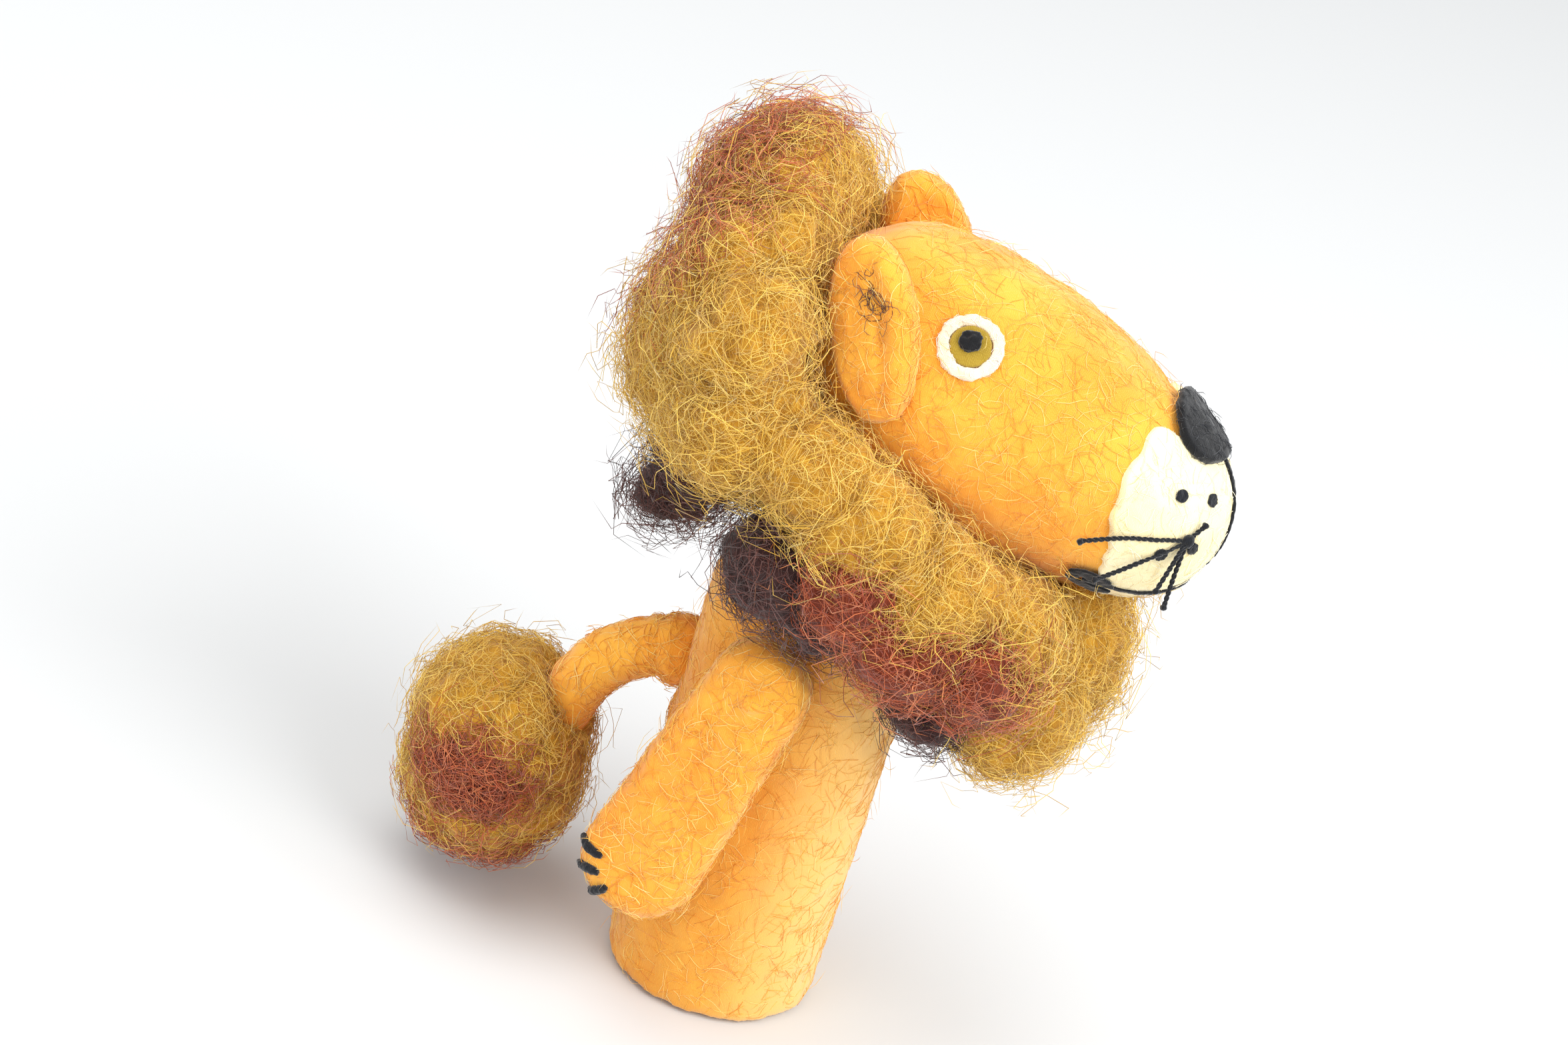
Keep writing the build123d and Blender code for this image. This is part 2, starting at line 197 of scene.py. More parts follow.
def mix(nodes, links, fac, a, b, amount=1.0):
    """A colour mix. fac is a socket, and amount limits it."""
    part = nodes.new("ShaderNodeMath")
    part.operation = "MULTIPLY"
    part.inputs[1].default_value = amount
    links.new(fac, part.inputs[0])
    node = nodes.new("ShaderNodeMix")
    node.data_type = "RGBA"
    links.new(part.outputs[0], node.inputs["Factor"])
    for value, slot_in in ((a, node.inputs[6]), (b, node.inputs[7])):
        if isinstance(value, tuple):
            slot_in.default_value = (*linear(value), 1)
        else:
            links.new(value, slot_in)
    return node.outputs[2]


def plain_shader(name, roughness, sheen):
    """A new material with its Principled shader set for matte wool."""
    material = bpy.data.materials.new(name)
    material.use_nodes = True
    nodes, links = material.node_tree.nodes, material.node_tree.links
    shader = nodes["Principled BSDF"]
    shader.inputs["Roughness"].default_value = roughness
    shader.inputs["Specular IOR Level"].default_value = 0.2
    shader.inputs["Sheen Weight"].default_value = sheen
    shader.inputs["Sheen Roughness"].default_value = 0.5
    return material, nodes, links, shader


def felt(name, main, patch, light, fibre=1.5, patches=0.11, depth=0.2, patch_share=0.7, front=None):
    """Pressed wool in three colours, and a paler front as painted light where a front colour is given."""
    material, nodes, links, shader = plain_shader(name, 0.9, 0.35)
    tangle = nodes.new("ShaderNodeGroup")
    tangle.node_tree = FIBRES
    tangle.inputs["Fibre Size"].default_value = fibre
    tangle.inputs["Patch Size"].default_value = patches
    under = mix(nodes, links, tangle.outputs["Patches"], main, patch, patch_share)
    # Painted light: the felt is made paler towards its front, the side that the window lights.
    if front is not None:
        place = nodes.new("ShaderNodeTexCoord")
        split = nodes.new("ShaderNodeSeparateXYZ")
        links.new(place.outputs["Object"], split.inputs[0])
        ahead = nodes.new("ShaderNodeMapRange")
        ahead.inputs["From Min"].default_value = -2 * MM
        ahead.inputs["From Max"].default_value = -13 * MM
        links.new(split.outputs["Y"], ahead.inputs["Value"])
        under = mix(nodes, links, ahead.outputs["Result"], under, front, 0.85)
    # Painted highlight: the raised fibres get the lighter colour as well as their bump.
    links.new(mix(nodes, links, tangle.outputs["Fibres"], under, light, 0.32), shader.inputs["Base Color"])
    bump = nodes.new("ShaderNodeBump")
    bump.inputs["Strength"].default_value = depth
    bump.inputs["Distance"].default_value = 0.12 * MM
    links.new(tangle.outputs["Fibres"], bump.inputs["Height"])
    links.new(bump.outputs["Normal"], shader.inputs["Normal"])
    return material


YELLOW = felt("yellow felt", (0.95, 0.67, 0.21), (0.90, 0.52, 0.11), (0.99, 0.79, 0.36))
# The sleeve's paler front colour is painted light.
SLEEVE = felt("sleeve felt", (0.90, 0.62, 0.20), (0.84, 0.50, 0.13), (0.97, 0.76, 0.34),
              front=(0.98, 0.79, 0.47))
CREAM = felt("cream felt", (0.98, 0.93, 0.76), (0.96, 0.86, 0.60), (1.0, 0.98, 0.86))
WHITE = felt("white felt", (0.93, 0.87, 0.79), (0.88, 0.77, 0.62), (0.97, 0.93, 0.87))
OLIVE = felt("olive felt", (0.66, 0.54, 0.16), (0.55, 0.44, 0.10), (0.78, 0.68, 0.28))
BLACK = felt("black felt", (0.045, 0.048, 0.058), (0.03, 0.03, 0.04), (0.10, 0.105, 0.125))
THREAD = felt("black thread", (0.055, 0.065, 0.085), (0.03, 0.03, 0.04), (0.16, 0.18, 0.22), fibre=1.4)
# The wool under the loose strands is its own colour, made darker than the strands as painted shade for the
# deep gaps between them.
GOLD_SHADED_UNDER = felt("gold wool under", (0.79, 0.58, 0.16), (0.69, 0.47, 0.10), (0.89, 0.71, 0.27))
RUST_SHADED_UNDER = felt("rust wool under", (0.50, 0.20, 0.10), (0.36, 0.13, 0.07), (0.66, 0.30, 0.16))
BROWN_SHADED_UNDER = felt("brown wool under", (0.24, 0.13, 0.12), (0.16, 0.08, 0.08), (0.38, 0.22, 0.20))
print("felts", [m.name for m in bpy.data.materials if "felt" in m.name or "under" in m.name])

# %% [markdown]
# Loose wool is made of real strands. Each strand carries a map of its own: across it runs the tint of that
# strand, and along it runs from root to tip. So one material gives every strand its own tint, and darkens it
# towards the root as painted shade.


# %% Strand materials
def strand_wool(name, tints, root_shade):
    """Wool for single strands: a tint for each strand, darker at the root as painted shade."""
    material, nodes, links, shader = plain_shader(name, 0.75, 0.3)
    place = nodes.new("ShaderNodeUVMap")
    place.uv_map = "OFBake"
    split = nodes.new("ShaderNodeSeparateXYZ")
    links.new(place.outputs["UV"], split.inputs[0])
    ramp = nodes.new("ShaderNodeValToRGB")
    ramp.color_ramp.elements[0].color = (*linear(tints[0]), 1)
    ramp.color_ramp.elements[1].color = (*linear(tints[-1]), 1)
    for i, tint in enumerate(tints[1:-1], 1):
        ramp.color_ramp.elements.new(i / (len(tints) - 1)).color = (*linear(tint), 1)
    links.new(split.outputs["X"], ramp.inputs["Fac"])
    # Painted shade: the colour darkens towards the root, down among the other strands.
    root_shading = nodes.new("ShaderNodeMapRange")
    root_shading.inputs["From Max"].default_value = 0.35
    root_shading.inputs["To Min"].default_value = 1
    root_shading.inputs["To Max"].default_value = 0
    links.new(split.outputs["Y"], root_shading.inputs["Value"])
    colour = mix(nodes, links, root_shading.outputs["Result"], ramp.outputs["Color"], root_shade, 0.5)
    links.new(colour, shader.inputs["Base Color"])
    return material


GOLD = strand_wool(
    "gold wool",
    [(0.83, 0.63, 0.19), (0.89, 0.71, 0.27), (0.93, 0.77, 0.33), (0.98, 0.86, 0.48)],
    (0.73, 0.52, 0.12),
)
RUST = strand_wool(
    "rust wool",
    [(0.52, 0.20, 0.09), (0.68, 0.30, 0.16), (0.80, 0.42, 0.24), (0.88, 0.56, 0.36)],
    (0.42, 0.16, 0.08),
)
BROWN = strand_wool(
    "brown wool",
    [(0.20, 0.11, 0.11), (0.32, 0.18, 0.16), (0.45, 0.28, 0.25), (0.40, 0.20, 0.14)],
    (0.16, 0.08, 0.08),
)
FUZZ = strand_wool(
    "yellow fuzz",
    [(0.93, 0.58, 0.14), (0.97, 0.70, 0.22), (1.0, 0.80, 0.36), (1.0, 0.90, 0.58)],
    (0.95, 0.65, 0.18),
)
CREAM_FUZZ = strand_wool(
    "cream fuzz", [(0.98, 0.91, 0.70), (1.0, 0.97, 0.85), (1.0, 0.99, 0.92)], (0.97, 0.9, 0.7)
)
WHITE_FUZZ = strand_wool("white fuzz", [(0.95, 0.90, 0.84), (1.0, 0.98, 0.95)], (0.93, 0.88, 0.8))
DARK_FUZZ = strand_wool("dark fuzz", [(0.06, 0.07, 0.09), (0.16, 0.17, 0.20)], (0.05, 0.05, 0.06))
print("strand wools", [m.name for m in bpy.data.materials if "wool" in m.name or "fuzz" in m.name])

# %% [markdown]
# Floor and light. A pale sweep, a large soft window on the face's side and a weaker one behind: wool looks
# soft when the light comes from a wide area.


# %% Floor and lights
def soft_light(name, place, aim, size, power):
    """A round lamp that looks at the aim."""
    data = bpy.data.lights.new(name, "AREA")
    data.shape = "DISK"
    data.size = size
    data.energy = power
    lamp = bpy.data.objects.new(name, data)
    bpy.context.scene.collection.objects.link(lamp)
    lamp.location = place
    lamp.rotation_euler = (Vector(aim) - Vector(place)).to_track_quat("-Z", "Y").to_euler()


bpy.ops.object.select_all(action="DESELECT")
bpy.ops.mesh.primitive_plane_add(size=6, location=(0, 0, -0.0005))
floor = bpy.context.object
floor.name = "floor"
pale, pale_nodes, pale_links, pale_shader = plain_shader("pale floor", 0.9, 0.0)
pale_noise = pale_nodes.new("ShaderNodeTexNoise")
pale_noise.inputs["Scale"].default_value = 3
pale_links.new(
    mix(pale_nodes, pale_links, pale_noise.outputs["Fac"], (0.835, 0.84, 0.84), (0.85, 0.85, 0.85)),
    pale_shader.inputs["Base Color"],
)
floor.data.materials.append(pale)

middle = (0, 0, 0.07)
soft_light("window", (-0.35, -0.75, 0.75), middle, 0.9, 11)
soft_light("over", (-0.1, 0.25, 1.1), middle, 0.9, 6)
soft_light("fill", (-0.9, 0.5, 0.35), middle, 0.8, 3)
sky = bpy.data.worlds.new("soft room")
sky.use_nodes = True
sky.node_tree.nodes["Background"].inputs["Color"].default_value = (0.97, 0.985, 1, 1)
sky.node_tree.nodes["Background"].inputs["Strength"].default_value = 0.75
bpy.context.scene.world = sky

# %% [markdown]
# Felt forms. A felted body has no flat face and no sharp edge. Each one starts as a merged copy of its
# construction solid, is rebuilt as an even skin, softened, and pushed in and out by two sizes of cloud,
# the way needle marks and thick places leave it. Swelling it with a cloth simulation would make it look
# stuffed and taut, and this is solid wool.


# %% Select, join and copy
def placed(name, data):
    """A new object in the scene."""
    piece = bpy.data.objects.new(name, data)
    bpy.context.scene.collection.objects.link(piece)
    return piece


def deselect():
    """Leaves edit mode and selects nothing."""
    if bpy.context.object and bpy.context.object.mode != "OBJECT":
        bpy.ops.object.mode_set(mode="OBJECT")
    bpy.ops.object.select_all(action="DESELECT")


def activate(piece):
    """Selects one piece alone and makes it the active one."""
    deselect()
    piece.select_set(True)
    bpy.context.view_layer.objects.active = piece


def joined(parts, name):
    """One piece made of several parts."""
    deselect()
    for part in parts:
        part.select_set(True)
        bpy.context.view_layer.objects.active = part
    if len(parts) > 1:
        bpy.ops.object.join()
    piece = bpy.context.object
    piece.name = name
    return piece


def merged_copy(name, nodes):
    """One mesh of several construction solids, with its doubled corners merged."""
    copies = []
    for node in nodes:
        copies.append(placed(name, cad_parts[node].data.copy()))
    deselect()
    for copy in copies:
        copy.select_set(True)
    bpy.context.view_layer.objects.active = copies[0]
    if len(copies) > 1:
        bpy.ops.object.join()
    piece = bpy.context.object
    piece.name = name
    piece.data.materials.clear()
    bpy.ops.object.mode_set(mode="EDIT")
    bpy.ops.mesh.select_all(action="SELECT")
    bpy.ops.mesh.remove_doubles(threshold=1e-6)
    bpy.ops.object.mode_set(mode="OBJECT")
    return piece


print("solids to copy", len(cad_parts))

# %% [markdown]
# The skin is rebuilt in small even cells, smoothed, and roughened. A hollow body also gets an inner skin,
# which is dropped where nobody can see it.


# %% Rebuild and soften
def add_modifier(piece, kind, **values):
    """Adds a modifier, sets it and applies it."""
    activate(piece)
    modifier = piece.modifiers.new(kind.lower(), kind)
    for key, value in values.items():
        setattr(modifier, key, value)
    bpy.ops.object.modifier_apply(modifier=modifier.name)


def clouds(piece, size, depth):
    """Pushes the surface in and out by a soft cloud."""
    cloud = bpy.data.textures.new(f"cloud {size}", "CLOUDS")
    cloud.noise_scale = size * MM
    cloud.noise_depth = 1
    add_modifier(piece, "DISPLACE", texture=cloud, texture_coords="LOCAL", strength=depth * MM, mid_level=0.5)


def keep_outer(piece):
    """Drops the skins that are shut inside the outer one."""
    activate(piece)
    bpy.ops.object.mode_set(mode="EDIT")
    bpy.ops.mesh.select_all(action="SELECT")
    bpy.ops.mesh.separate(type="LOOSE")
    bpy.ops.object.mode_set(mode="OBJECT")
    parts = sorted(bpy.context.selected_objects, key=lambda o: o.dimensions.length, reverse=True)
    for part in parts[1:]:
        bpy.data.objects.remove(part)
    return parts[0]


SMOOTHING = 0.6


def felt_form(name, nodes, voxel, soften=6, cloud=((4, 0.5), (1.5, 0.2)), outer=True):
    """A soft felt form in the place of construction solids."""
    piece = merged_copy(name, nodes)
    add_modifier(piece, "REMESH", mode="VOXEL", voxel_size=voxel * MM, use_smooth_shade=True)
    if outer:
        piece = keep_outer(piece)
        piece.name = name
    add_modifier(piece, "SMOOTH", iterations=soften, factor=SMOOTHING)
    for size, depth in cloud:
        clouds(piece, size, depth)
    activate(piece)
    bpy.ops.object.shade_smooth()
    return piece


print("each felt form is smoothed by", SMOOTHING)

# %% [markdown]
# Every finished piece takes its material, rides on its body, and hides the construction solids it stands for.


# %% Hand over
def hand_over(piece, body, material, nodes=()):
    """Gives a piece its finish and its body, and hides the construction solids it stands for."""
    piece.data.materials.clear()
    piece.data.materials.append(material)
    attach(piece, body)
    if nodes:
        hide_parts(*nodes)
    print(piece.name, len(piece.data.polygons), "faces on", body)
    return piece


# %% [markdown]
# Strands. Operators can't lay thousands of curly fibres over a curved form, so this is the one thing made
# in mesh code. A strand starts on the surface, walks along it in short steps, turns a little at each one,
# and rises and falls, always held at its height over the nearest place on the form. Then it becomes a
# three-sided tube that is pointed at both ends. The seed is fixed, so each run lays the same wool.


# %% Roots on a form
def surface_of(piece):
    """The form's triangles as a search tree, with the centres, outward directions and areas to pick from."""
    mesh = piece.data
    mesh.calc_loop_triangles()
    corners = np.empty(len(mesh.vertices) * 3)
    mesh.vertices.foreach_get("co", corners)
    corners = corners.reshape(-1, 3)
    faces = np.empty(len(mesh.loop_triangles) * 3, int)
    mesh.loop_triangles.foreach_get("vertices", faces)
    faces = faces.reshape(-1, 3)
    a, b, c = (corners[faces[:, i]] for i in range(3))
    cross = np.cross(b - a, c - a)
    area = np.linalg.norm(cross, axis=1) / 2
    tree = BVHTree.FromPolygons([tuple(v) for v in corners], [tuple(f) for f in faces])
    return {"tree": tree, "a": a, "b": b, "c": c, "normal": cross / (2 * area[:, None] + 1e-20), "area": area}


def pick_roots(surface, count, rng, weight=None):
    """Random places on the form, more where the weight is higher."""
    middle_of = (surface["a"] + surface["b"] + surface["c"]) / 3
    chance = surface["area"].copy()
    if weight is not None:
        chance = chance * weight(middle_of, surface["normal"])
    face = rng.choice(len(chance), count, p=chance / chance.sum())
    u, v = rng.random(count), rng.random(count)
    flip = u + v > 1
    u[flip], v[flip] = 1 - u[flip], 1 - v[flip]
    a, b, c = surface["a"][face], surface["b"][face], surface["c"][face]
    return a + (b - a) * u[:, None] + (c - a) * v[:, None], surface["normal"][face]


print("made", [f.__name__ for f in (surface_of, pick_roots)])

# %% [markdown]
# A strand's height is zero at its root and rises along it. Most strands come down again, and a few stray
# ones stay up, which is what makes wool look loose.


# %% Walk the strands over a form
def walk(surface, roots, normals, rng, length, steps, lift, bend, stray=0.0, stray_lift=5.0):
    """Points along each strand, and the outward direction at its root."""
    count = len(roots)
    heading = rng.normal(size=(count, 3))
    step = length * MM * (0.6 + 0.8 * rng.random(count)) / steps
    top = lift * MM * rng.random(count) ** 1.6
    wild = rng.random(count) < stray
    top[wild] = stray_lift * MM * (0.3 + 0.7 * rng.random(wild.sum()))
    rise = rng.random(count) * 0.5 + 0.5
    sway = rng.normal(size=count) * bend
    place, out = roots.copy(), normals.copy()
    points = [roots - normals * 0.25 * MM]
    for k in range(1, steps + 1):
        heading -= out * np.sum(heading * out, axis=1)[:, None]
        heading /= np.linalg.norm(heading, axis=1)[:, None] + 1e-12
        side = np.cross(out, heading)
        angle = (sway + rng.normal(size=count) * bend * 0.6)[:, None]
        heading = heading * np.cos(angle) + side * np.sin(angle)
        place = place + heading * step[:, None]
        share = k / steps
        height = top * np.where(wild, share**0.8, np.sin(math.pi * np.minimum(share * rise * 1.25, 1)))
        for i in range(count):
            near, normal, _, _ = surface["tree"].find_nearest(place[i])
            place[i], out[i] = near, normal
        points.append(place + out * height[:, None])
    return np.stack(points, 1), normals


print("made", walk.__name__)

# %% [markdown]
# All the tubes of a piece go into one mesh. One tube's faces are numbered once and repeated for each strand.


# %% Tubes along the strands
def tube_faces(rings):
    """The sides and the pointed ends of one three-sided tube, as numbers of its points."""
    sides, ends = [], []
    last = rings - 3
    for c in range(3):
        d = (c + 1) % 3
        ends.append((0, 1 + d, 1 + c))
        for r in range(last):
            lower, upper = 1 + 3 * r, 1 + 3 * (r + 1)
            sides.append((lower + c, lower + d, upper + d, upper + c))
        ends.append((1 + 3 * last + c, 1 + 3 * last + d, 3 * (rings - 2) + 1))
    return sides, ends


def tube_points(points, normals, rng, width):
    """Rings of three points round each strand, closed by a point at each end."""
    count = len(points)
    along = np.gradient(points, axis=1)
    along /= np.linalg.norm(along, axis=2)[..., None] + 1e-12
    across = np.cross(along, normals[:, None, :])
    across /= np.linalg.norm(across, axis=2)[..., None] + 1e-12
    over = np.cross(across, along)
    radius = width * MM / 2 * (0.7 + 0.6 * rng.random(count))
    inner = points[:, 1:-1]
    ring = []
    for corner in range(3):
        turn_by = corner * 2 * math.pi / 3
        offset = across[:, 1:-1] * math.cos(turn_by) + over[:, 1:-1] * math.sin(turn_by)
        ring.append(inner + offset * radius[:, None, None])
    ring = np.stack(ring, 2)
    return np.concatenate([points[:, :1], ring.reshape(count, -1, 3), points[:, -1:]], axis=1)


def tubes(name, points, normals, rng, width):
    """Three-sided tubes along the strands, pointed at both ends, with a tint and a length map."""
    count, rings, _ = points.shape
    vertices = tube_points(points, normals, rng, width)
    per = vertices.shape[1]
    sides, ends = tube_faces(rings)
    start = (np.arange(count) * per)[:, None]
    side_index = (np.array(sides).reshape(1, -1) + start).reshape(-1)
    end_index = (np.array(ends).reshape(1, -1) + start).reshape(-1)
    loops = np.concatenate([side_index, end_index])
    sizes = np.concatenate([np.full(len(sides) * count, 4), np.full(len(ends) * count, 3)])
    mesh = bpy.data.meshes.new(name)
    mesh.vertices.add(count * per)
    mesh.vertices.foreach_set("co", vertices.reshape(-1))
    mesh.loops.add(len(loops))
    mesh.loops.foreach_set("vertex_index", loops.astype(np.int32))
    mesh.polygons.add(len(sizes))
    first_loops = np.concatenate([[0], np.cumsum(sizes)[:-1]])
    mesh.polygons.foreach_set("loop_start", first_loops.astype(np.int32))
    height_of = np.concatenate([[0], np.repeat(np.arange(1, rings - 1), 3), [rings - 1]]) / (rings - 1)
    tint = np.repeat(0.02 + 0.96 * rng.random(count), per)
    climb = np.tile(height_of, count) * 0.96 + 0.02
    layer = mesh.uv_layers.new(name="OFBake")
    layer.data.foreach_set("uv", np.stack([tint[loops], climb[loops]], 1).astype(np.float32).reshape(-1))
    mesh.update(calc_edges=True)
    mesh.validate()
    mesh.polygons.foreach_set("use_smooth", np.ones(len(mesh.polygons), bool))
    return placed(name, mesh)


print("a tube of six steps has", [len(faces) for faces in tube_faces(7)], "sides and end faces")

# %% [markdown]
# One call lays a whole coat: it picks roots, walks, makes tubes and hands the piece over. Strands near the
# hem are kept above its plane, because the puppet stands on it.

# %% A coat of strands
HEM_CLEARANCE = 0.1 * MM


def strands(name, surface, count, seed, body, material, width=0.13, length=10, steps=6, lift=1.5,
            bend=0.45, weight=None, stray=0.03, stray_lift=5.0):
    """Curly strands over a form, as one piece that stays above the plane of the hem."""
    rng = np.random.default_rng(seed)
    roots, normals = pick_roots(surface, count, rng, weight)
    points, out = walk(surface, roots, normals, rng, length, steps, lift, bend, stray, stray_lift)
    points[..., 2] = np.maximum(points[..., 2], HEM_CLEARANCE)
    piece = tubes(name, points, out, rng, width)
    return hand_over(piece, body, material)


# %% [markdown]
# Some forms are finished by moving their points. These helpers read a piece's points as one array, give
# them on the head's own axes, and write them back.

# %% Read, place and write points
def head_places(points):
    """Left, up and ahead on the head's own axes, in millimetres, for many points at once."""
    offset = points - np.array(HEAD_CENTRE)
    return np.stack([offset[:, 0], offset @ np.array(UP), offset @ np.array(AHEAD)], 1) / MM


def read_points(piece):
    """The places of a piece's points."""
    points = np.empty(len(piece.data.vertices) * 3)
    piece.data.vertices.foreach_get("co", points)
    return points.reshape(-1, 3)


def write_points(piece, points):
    """Moves a piece's points to new places."""
    piece.data.vertices.foreach_set("co", points.reshape(-1))
    piece.data.update()


def smooth_step(value):
    """Turns a rise from 0 to 1 into a soft one."""
    value = np.clip(value, 0, 1)
    return value * value * (3 - 2 * value)


print("muzzle front on the head's axes", head_places(np.array([on_head(0, 0, 46)])).round(1))

# %% [markdown]
# Sleeve. The body is a felt tube that a finger fills, closed at the top under the neck.

# %% Body sleeve
sleeve = felt_form("body_felt", ["body_sleeve"], 0.6, soften=5, cloud=((5, 0.7), (1.8, 0.25)), outer=False)
sleeve_points = read_points(sleeve)
sleeve_points[:, 2] = np.maximum(sleeve_points[:, 2], 0)
write_points(sleeve, sleeve_points)
hand_over(sleeve, "body", SLEEVE, ["body_sleeve", "right_arm_thread", "left_arm_thread"])
sleeve_skin = surface_of(sleeve)


def outside_only(centre, normal):
    """Keeps the fuzz off the finger hole."""
    radial = centre[:, :2] / (np.linalg.norm(centre[:, :2], axis=1)[:, None] + 1e-12)
    facing = np.sum(radial * normal[:, :2], axis=1)
    return ((facing > 0.15) & (centre[:, 2] > 1 * MM)).astype(float)


strands("body_fuzz", sleeve_skin, 5000, 11, "body", FUZZ, width=0.06, length=4.5,
        steps=4, lift=0.2, bend=0.3, weight=outside_only, stray=0.05, stray_lift=1.8)

# %% [markdown]
# Neck. It only shows when the head nods, so a plain felted plug in the same yellow is enough.

# %% Neck
neck = felt_form("neck_felt", ["neck_stem"], 0.6, soften=3, cloud=((2, 0.1),))
hand_over(neck, "neck", YELLOW, ["neck_stem"])

# %% [markdown]
# Arms. Each is a flat stuffed limb that ends in a round paw and hangs from a thread at the shoulder.

# %% Arms
arms = {}
for side, seed in (("right", 21), ("left", 22)):
    arm = felt_form(f"{side}_arm_felt", [f"{side}_arm", f"{side}_arm_thread"], 0.5, soften=14,
                    cloud=((4, 0.8), (1.5, 0.25)))
    hand_over(arm, f"{side}_arm_body", YELLOW, [f"{side}_arm"])
    arms[side] = surface_of(arm)
    strands(f"{side}_arm_fuzz", arms[side], 2000, seed, f"{side}_arm_body", FUZZ,
            width=0.08, length=4.5, steps=4, lift=0.4, bend=0.4, stray=0.07, stray_lift=1.8)

# %% [markdown]
# Claws. Each is one stitch of thick thread that is sunk a little into the felt. Its points are laid on the
# arm's own surface, from the paw's end round to its back edge, so it follows the curve of the paw.


# %% Claws
def thread_along(name, places, radius, resolution, widths=None):
    """A thread through the places, as a mesh. The widths thin it or swell it at each place."""
    cord = bpy.data.curves.new(name, "CURVE")
    cord.dimensions = "3D"
    cord.bevel_depth = radius
    cord.bevel_resolution = resolution
    cord.use_fill_caps = True
    line = cord.splines.new("POLY")
    line.points.add(len(places) - 1)
    for i, point in enumerate(line.points):
        point.co = (*places[i], 1)
        if widths is not None:
            point.radius = widths[i]
    activate(placed(name, cord))
    bpy.ops.object.convert(target="MESH")
    return bpy.context.object


PAW_R = 8 * MM
CLAW_DEGREES = (40, 70, 98)
CLAW_THREAD_R = 0.62 * MM
CLAW_TAPER = (0.7, 1, 1.1, 1, 0.7)


def claw_stitch(side, paw, outwards, degrees):
    """One stitch on the arm's surface, at an angle round the paw from straight down."""
    down, back = -math.cos(math.radians(degrees)), math.sin(math.radians(degrees))
    places = []
    for i in range(len(CLAW_TAPER)):
        reach = (4.9 + 1.1 * i) * MM
        aim = paw + Vector((outwards * (6.5 - 1.1 * i) * MM, back * reach, down * reach))
        near, normal, _, _ = arms[side]["tree"].find_nearest(aim)
        places.append(near + normal * 0.25 * MM)
    return thread_along(f"{side}_claw", places, CLAW_THREAD_R, 2, CLAW_TAPER)


for side, outwards in (("right", -1), ("left", 1)):
    paw_low, paw_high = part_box(f"{side}_arm")
    paw = Vector(((paw_low.x + paw_high.x) / 2, paw_high.y - PAW_R, paw_low.z + PAW_R))
    stitches = [claw_stitch(side, paw, outwards, degrees) for degrees in CLAW_DEGREES]
    claws = joined(stitches, f"{side}_claw_stitches")
    add_modifier(claws, "REMESH", mode="VOXEL", voxel_size=0.16 * MM, use_smooth_shade=True)
    clouds(claws, 0.6, 0.25)
    hand_over(claws, f"{side}_arm_body", THREAD, [f"{side}_claws"])

# %% [markdown]
# Tail. A felt cord as thick as a pencil comes out of the back, arches down and ends in a ball of loose wool.

# %% Tail
tail = felt_form("tail_felt", ["tail", "tail_root"], 0.4, soften=6, cloud=((4, 0.7), (1.5, 0.2)))
root_low, root_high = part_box("tail_root")
root_middle = (root_low + root_high) / 2
tail.data.materials.append(YELLOW)
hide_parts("tail")
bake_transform(tail)
print("tail", len(tail.data.polygons), "faces")

# %% [markdown]
# Tail collar. On a felted animal the tail's root is needled down into the back until it flares. A small egg
# between the body and the tail's root fills that place.

# %% Collar where the tail leaves the back
deselect()
bpy.ops.mesh.primitive_ico_sphere_add(subdivisions=4, radius=1)
collar = bpy.context.object
collar.name = "tail_collar_felt"
collar_place = Matrix.Translation((0, root_middle.y - 3 * MM, root_middle.z + 0.5 * MM))
collar.data.transform(collar_place @ Matrix.Diagonal((4.5 * MM, 4.6 * MM, 4.9 * MM, 1)))
clouds(collar, 2, 0.6)
activate(collar)
bpy.ops.object.shade_smooth()
collar.data.materials.append(YELLOW)
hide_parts("tail_root")
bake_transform(collar)
print("collar", len(collar.data.polygons), "faces")
strands("tail_collar_fuzz", surface_of(collar), 420, 33, "tail_root_body", FUZZ,
        width=0.08, length=5, steps=5, lift=0.5, bend=0.4, stray=0.15, stray_lift=1.8)
strands("tail_fuzz", surface_of(tail), 700, 31, "tail_body", FUZZ, width=0.09, length=4,
        steps=5, lift=0.35, bend=0.3, stray=0.06, stray_lift=1.5)

# %% [markdown]
# Head. Felted round a wool core. The skull, the long snout and the cheeks are one form.

# %% Head
head = felt_form("head_felt", ["head_skin"], 0.6, soften=6, cloud=((6, 0.7), (2, 0.25)))
hand_over(head, "head", YELLOW, ["head_skin", "head_core"])
head_skin = surface_of(head)


def near_head(centre):
    """How far each place is from the head, in millimetres."""
    return np.array([head_skin["tree"].find_nearest(p)[3] for p in centre]) / MM


def ahead_of(centre):
    """Millimetres ahead of the head's middle."""
    return (centre - np.array(HEAD_CENTRE)) @ np.array(AHEAD) / MM


def bare_face(centre, normal):
    """Full fuzz on the face, hardly any under the muzzle patch and none under the mane."""
    reach = ahead_of(centre)
    return np.clip((reach + 8) / 6, 0, 1) * np.clip((36 - reach) / 4, 0.02, 1)


strands("head_fuzz", head_skin, 8000, 41, "head", FUZZ, width=0.06, length=4.5, steps=4,
        lift=0.25, bend=0.45, weight=bare_face, stray=0.1, stray_lift=1.9)

# %% [markdown]
# Muzzle and nose. A thin layer of cream wool covers the front of the snout, and a black pad sits on top.

# %% Muzzle and nose
muzzle = felt_form("muzzle_felt", ["muzzle_patch"], 0.35, soften=4, cloud=((3, 0.3), (1, 0.12)), outer=False)


def cream_border(left, up):
    """How far ahead the cream begins: further back at the cheeks, and further ahead under the nose."""
    return 31.0 + 0.33 * np.clip(7 - up, 0, 20) + 5.5 * smooth_step((7.5 - np.abs(left)) / 4) * (up > 5)


